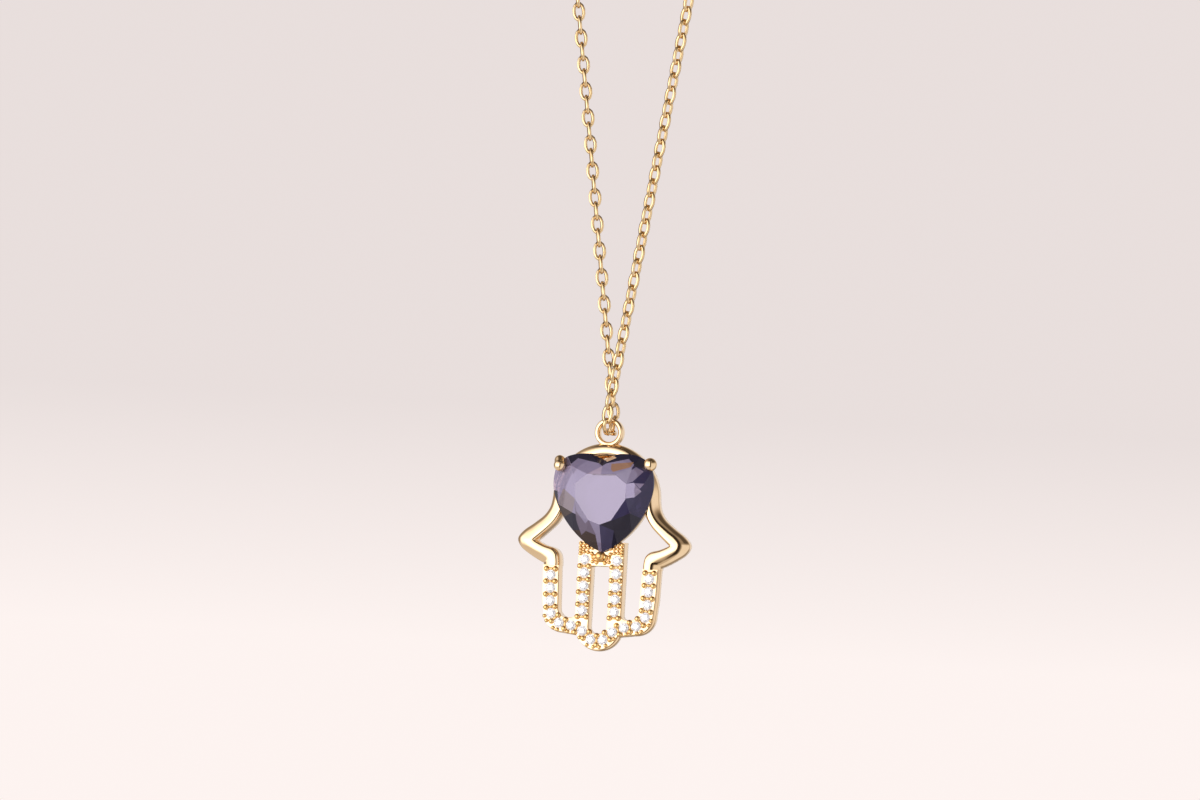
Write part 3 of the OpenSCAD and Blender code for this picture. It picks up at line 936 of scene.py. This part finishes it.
# one link, a wire round an oval
bm = bmesh.new()
halfLong, halfWide = (chain["linkLong"] - chain["wire"]) / 2, (chain["linkWide"] - chain["wire"]) / 2
rings = []
for k in range(chain["linkSteps"]):
    a = 2 * math.pi * (k + 0.5) / chain["linkSteps"]
    along = Vector((-halfLong * math.sin(a), 0, halfWide * math.cos(a))).normalized()
    point = Vector((halfLong * math.cos(a), 0, halfWide * math.sin(a)))
    rings.append(wireRing(point, along, Vector((0, 1, 0)), chain["wire"], chain["wireSides"]))
first, last = wallsThrough(bm, rings)
bmesh.ops.bridge_loops(bm, edges=ringEdges(bm, first) + ringEdges(bm, last))
oneLink = bpy.data.meshes.new("one_link")
bm.to_mesh(oneLink)
bm.free()
# an even number of links, so that the last one lies as the first one does
routeAt, routeLength = walkRoute(chainRoute())
count = 2 * round(routeLength / chain["pitch"] / 2)
pitch = routeLength / (count - 1)
bm = bmesh.new()
for i in range(count):
    middle = routeAt(i * pitch)
    along = (routeAt(i * pitch + pitch / 2) - routeAt(i * pitch - pitch / 2)).normalized()
    front = Vector((0, -1, 0))
    across = (front - along * front.dot(along)).normalized() if abs(along.y) < 0.99 else Vector((0, 0, 1))
    twist = math.radians(45 + 90 * (i % 2) + twistAt(i / (count - 1)))
    side = across * math.cos(twist) + along.cross(across) * math.sin(twist)
    basis = Matrix((along, side, along.cross(side))).transposed().to_4x4()
    before = len(bm.verts)
    bm.from_mesh(oneLink)
    bm.verts.ensure_lookup_table()
    bmesh.ops.transform(bm, matrix=Matrix.Translation(middle) @ basis, verts=bm.verts[before:])
bpy.data.meshes.remove(oneLink)
chainLinks = makePiece("chain_links", bm, chainGold, "necklace", 80)
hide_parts("chain")

# Lobster clasp: a closed hook with its lever below, the round body they meet in, and the eye for the chain.
clasp = {
    "wire": 1.0,
    "rootWire": 1.4,
    "hookRadius": 1.975,
    "hookFrom": 106,
    "leverFrom": -38,  # where the lever's tip meets the nose of the hook, in degrees
    "seam": 1.6,
    "straightSteps": 10,
    "root": (-2.7, 0.6),
    "bodySize": 2.6,
    "bodyDepth": 1.5,
    "bodyRound": 0.3,
    "pinSize": 0.8,
    "pinOut": 0.09,
    "pinSlope": 1.12,
    "knobSize": 0.95,
    "knobOffset": (1.2, -0.95),
    "eyeSize": 1.7,
    "eyeWire": 0.56,
    "sides": 18,
    "steps": 40,
}
claspBack, claspNose = (corner[0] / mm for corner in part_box("clasp"))
hookX = claspNose - clasp["hookRadius"] - clasp["wire"] / 2
claspAxis = Vector((0, 1, 0))


def claspWire(x):
    # the wire thickens from the nose to the body
    share = (claspNose - x) / (claspNose - clasp["root"][0])
    return clasp["wire"] + (clasp["rootWire"] - clasp["wire"]) * share ** 2


def claspLimb(bm, start, end, rootSide):
    # from one angle round the nose to another, then straight to the body
    bow = arcPoints((hookX, 0), clasp["hookRadius"], start, end, clasp["steps"])
    root = Vector((clasp["root"][0], clasp["root"][1] * rootSide))
    steps = clasp["straightSteps"]
    straight = [tuple(Vector(bow[-1]).lerp(root, k / steps)) for k in range(1, steps + 1)]
    line = [Vector((x, 0, z)) for x, z in bow + straight]
    rings = []
    for i, here in enumerate(line):
        along = (line[min(i + 1, len(line) - 1)] - line[max(i - 1, 0)]).normalized()
        rings.append(wireRing(here, along, claspAxis, claspWire(here.x), clasp["sides"]))
    sweep(bm, rings)


def claspBody(bm):
    # round body with a pin through it that stands out a little on both faces
    half, rounding, out = clasp["bodyDepth"] / 2, clasp["bodyRound"], clasp["pinOut"]
    pin, edge = clasp["pinSize"] / 2, clasp["bodySize"] / 2 - rounding
    profile = [(0, half + out), (0.7 * pin, half + out), (pin, half + cornerMiddle * out),
               (pin, half - 0.05), (clasp["pinSlope"] * pin, half)]
    profile += [(edge + x, half - rounding + y) for x, y in arcPoints((0, 0), rounding, 90, 0, 6)]
    profile += [(x, -y) for x, y in reversed(profile)]
    turnOnLathe(bm, profile, (clasp["root"][0], 0, 0), claspAxis, 40)


def roundWire(bm, centre, size, wire, axis, angle):
    # ring of round wire, whole or with a narrow cut
    outward = Vector(axis).orthogonal().normalized()
    along = Vector(axis).cross(outward)
    ring = startRing(bm, wireRing(Vector(centre) + outward * size / 2, along, Vector(axis), wire, 14))
    whole = angle == 360
    made = bmesh.ops.spin(bm, geom=ring + ringEdges(bm, ring), cent=centre, axis=axis,
                          angle=math.radians(angle), steps=44, use_merge=whole)["geom_last"]
    if not whole:
        for edges in (ringEdges(bm, ring), [part for part in made if isinstance(part, bmesh.types.BMEdge)]):
            bmesh.ops.contextual_create(bm, geom=edges)


bm = bmesh.new()
claspLimb(bm, clasp["leverFrom"] + clasp["seam"], clasp["hookFrom"], 1)
claspLimb(bm, clasp["leverFrom"] - clasp["seam"], -clasp["hookFrom"], -1)
claspBody(bm)
knobX, knobZ = clasp["root"][0] + clasp["knobOffset"][0], -clasp["root"][1] + clasp["knobOffset"][1]
ballAt(bm, Vector((knobX, 0, knobZ)), clasp["knobSize"], 12)
eyeX = claspBack + (clasp["eyeSize"] + clasp["eyeWire"]) / 2
roundWire(bm, (eyeX, 0, 0), clasp["eyeSize"], clasp["eyeWire"], (0, 1, 0), 360)
lobsterClasp = makePiece("lobster_clasp", bm, claspGold, "necklace", 42)
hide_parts("clasp")

# End ring: a jump ring of round wire whose two ends nearly touch.
endRing = {
    "size": 4,
    "wire": 0.6,
    "tilt": 8,
    "sweep": 357,
}
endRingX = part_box("end_ring")[0][0] / mm + endRing["wire"] / 2
bm = bmesh.new()
roundWire(bm, (endRing["size"] / 2, 0, 0), endRing["size"], endRing["wire"], (0, 1, 0), endRing["sweep"])
tilt = Matrix.Rotation(math.radians(endRing["tilt"]), 4, "Y")
bmesh.ops.transform(bm, matrix=Matrix.Translation((endRingX, 0, 0)) @ tilt, verts=bm.verts)
jumpRing = makePiece("jump_ring", bm, claspGold, "necklace", 50)
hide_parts("end_ring")


# Floor, light and camera
studio = {
    "floorDrop": 150,
    "floorRadius": 0.9,
    "floorFade": (0.3, 0.88),  # distances in metres between which the floor fades out towards its rim
    "floorColour": (0.86, 0.82, 0.80),
    "distance": 600,
    "azimuth": 16,
    "elevation": -3,
    "roll": 3.1,
    "pixelsPerMm": 10.2,
    "drawingPixel": (610, 430),
    "imageSize": (1200, 800),
    "sensor": 36,
    # wall behind, seen by the camera only: its colours above and below a soft line
    "above": (0.81, 0.735, 0.72),
    "below": (0.985, 0.90, 0.875),
    "softLine": (0.012, 0.05),
    # light all round: its plain level, and its level behind
    "plain": 0.34,
    "behind": 0.85,
    "behindStart": (0.68, 0.9),
    "dimColour": (1, 0.80, 0.62),
    "brightColour": (1, 0.97, 0.97),
    "brightFrom": 0.9,
    # panels in that light: degrees across from the front and degrees up, both with soft ends
    "panels": [
        {"across": (-181, -180, 180, 181), "up": (48, 68, 90, 91), "strength": 0.08},
        {"across": (-181, -180, 180, 181), "up": (-70, -50, -18, -5), "strength": 0.35},
        {"across": (-162, -136, -6, 8), "up": (-86, -76, -24, -8), "strength": 0.72},
        {"across": (-95, -65, 4, 16), "up": (-32, -12, 10, 60), "strength": 2.0},
        {"across": (-64, -40, -14, 4), "up": (-34, -16, -4, 10), "strength": 2.7},
        {"across": (-10, 6, 110, 150), "up": (-86, -76, -56, -44), "strength": 0.6},
        {"across": (24, 36, 110, 150), "up": (-85, -70, 10, 30), "strength": 0.9},
        {"across": (38, 56, 110, 150), "up": (26, 40, 60, 80), "strength": 0.1},
        {"across": (5, 10, 19, 30), "up": (-54, -42, 60, 80), "strength": 0.035},
    ],
    # lamps: distance from the middle of the pendant, size and power
    "softboxes": {
        "top": ((-0.1, -0.2, 1.2), 0.8, 6),
        "front": ((-0.25, -0.5, 0.25), 0.4, 1.7),
    },
}
bm = bmesh.new()
bmesh.ops.create_circle(bm, cap_ends=True, segments=96, radius=studio["floorRadius"])
mesh = bpy.data.meshes.new("floor")
bm.to_mesh(mesh)
bm.free()
floor = bpy.data.objects.new("floor", mesh)
bpy.context.scene.collection.objects.link(floor)
floor.location.z = (bailZ - studio["floorDrop"]) * mm
floor.visible_glossy = False  # the gold mirrors only the panels
floorPaint, nodes, links, shader = newMaterial("pale_floor")
shader.inputs["Base Color"].default_value = (*studio["floorColour"], 1)
shader.inputs["Roughness"].default_value = 0.7
place = nodes.new("ShaderNodeTexCoord")
outward = nodes.new("ShaderNodeVectorMath")
outward.operation = "LENGTH"
links.new(place.outputs["Object"], outward.inputs[0])
fade = nodes.new("ShaderNodeMapRange")
fade.interpolation_type = "SMOOTHSTEP"
for socket, value in zip(("From Min", "From Max", "To Min", "To Max"), (*studio["floorFade"], 1, 0)):
    fade.inputs[socket].default_value = value
links.new(outward.outputs["Value"], fade.inputs["Value"])
links.new(fade.outputs["Result"], shader.inputs["Alpha"])
mesh.materials.append(floorPaint)

world = bpy.data.worlds.new("studio")
bpy.context.scene.world = world
world.use_nodes = True
nodes, links = world.node_tree.nodes, world.node_tree.links


def worldMath(operation, *values):
    # math node on numbers or other nodes' outputs
    node = nodes.new("ShaderNodeMath")
    node.operation = operation
    for socket, value in zip(node.inputs, values):
        if isinstance(value, (int, float)):
            socket.default_value = value
        else:
            links.new(value, socket)
    return node.outputs["Value"]


def softStep(value, start, end, low, high):
    node = nodes.new("ShaderNodeMapRange")
    node.interpolation_type = "SMOOTHSTEP"
    links.new(value, node.inputs["Value"])
    for name, number in (("From Min", start), ("From Max", end), ("To Min", low), ("To Max", high)):
        node.inputs[name].default_value = number
    return node.outputs["Result"]


def softBetween(value, *degrees):
    # 1 between the two middle angles, and falling to 0 at the outer ones
    a, b, c, d = (math.radians(angle) for angle in degrees)
    return worldMath("MULTIPLY", softStep(value, a, b, 0, 1), softStep(value, c, d, 1, 0))


direction = nodes.new("ShaderNodeSeparateXYZ")
links.new(nodes.new("ShaderNodeTexCoord").outputs["Generated"], direction.inputs["Vector"])
fromFront = worldMath("ARCTAN2", direction.outputs["X"], worldMath("MULTIPLY", direction.outputs["Y"], -1))
fromLevel = worldMath("ARCSINE", direction.outputs["Z"])
strength = softStep(direction.outputs["Y"], *studio["behindStart"], studio["plain"], studio["behind"])
for panel in studio["panels"]:
    across, upwards = softBetween(fromFront, *panel["across"]), softBetween(fromLevel, *panel["up"])
    mask = worldMath("MULTIPLY", across, upwards)
    change = worldMath("MULTIPLY", mask, worldMath("SUBTRACT", panel["strength"], strength))
    strength = worldMath("ADD", strength, change)
wall = nodes.new("ShaderNodeValToRGB")
warmth = nodes.new("ShaderNodeValToRGB")  # dim light is warmer
for ramp, positions, colours in (
        (wall, studio["softLine"], ("below", "above")),
        (warmth, (0, studio["brightFrom"]), ("dimColour", "brightColour"))):
    for element, position, colour in zip(ramp.color_ramp.elements, positions, colours):
        element.position = position
        element.color = (*studio[colour], 1)
links.new(direction.outputs["Z"], wall.inputs["Fac"])
links.new(strength, warmth.inputs["Fac"])
seen, lighting = nodes["Background"], nodes.new("ShaderNodeBackground")
links.new(wall.outputs["Color"], seen.inputs["Color"])
links.new(warmth.outputs["Color"], lighting.inputs["Color"])
links.new(strength, lighting.inputs["Strength"])
either = nodes.new("ShaderNodeMixShader")
links.new(nodes.new("ShaderNodeLightPath").outputs["Is Camera Ray"], either.inputs["Fac"])
links.new(lighting.outputs["Background"], either.inputs[1])
links.new(seen.outputs["Background"], either.inputs[2])
links.new(either.outputs["Shader"], nodes["World Output"].inputs["Surface"])

pendantMiddle = Vector((0, 0, bailZ - 11)) * mm
for name, (offset, size, power) in studio["softboxes"].items():
    light = bpy.data.lights.new(name, "AREA")
    light.shape = "SQUARE"
    light.size = size
    light.energy = power
    lamp = bpy.data.objects.new(name, light)
    bpy.context.scene.collection.objects.link(lamp)
    lamp.location = pendantMiddle + Vector(offset)
    lamp.rotation_euler = (-Vector(offset)).to_track_quat("-Z", "Y").to_euler()
    lamp.visible_glossy = False

# camera, turned and rolled about the pendant as in the photograph
azimuth, elevation, roll = (math.radians(studio[key]) for key in ("azimuth", "elevation", "roll"))
level = math.cos(elevation)
backward = Vector((math.sin(azimuth) * level, -math.cos(azimuth) * level, math.sin(elevation)))
right = Vector((math.cos(azimuth), math.sin(azimuth), 0))
up = backward.cross(right)
right, up = right * math.cos(roll) + up * math.sin(roll), up * math.cos(roll) - right * math.sin(roll)
width, height = studio["imageSize"]
offX = (width / 2 - studio["drawingPixel"][0]) / studio["pixelsPerMm"]
offZ = (studio["drawingPixel"][1] - height / 2) / studio["pixelsPerMm"]
aim = (Vector((0, 0, handZ)) + right * offX + up * offZ) * mm
lens = bpy.data.cameras.new("camera")
lens.sensor_width = studio["sensor"]
lens.lens = studio["sensor"] * studio["distance"] * studio["pixelsPerMm"] / width
camera = bpy.data.objects.new("camera", lens)
bpy.context.scene.collection.objects.link(camera)
camera.matrix_world = Matrix.Translation(aim + backward * studio["distance"] * mm) @ Matrix(
    (right, up, backward)).transposed().to_4x4()
bpy.context.scene.camera = camera
bpy.context.scene.view_settings.view_transform = "Standard"
print("floor, light and camera placed")

bpy.context.view_layer.update()
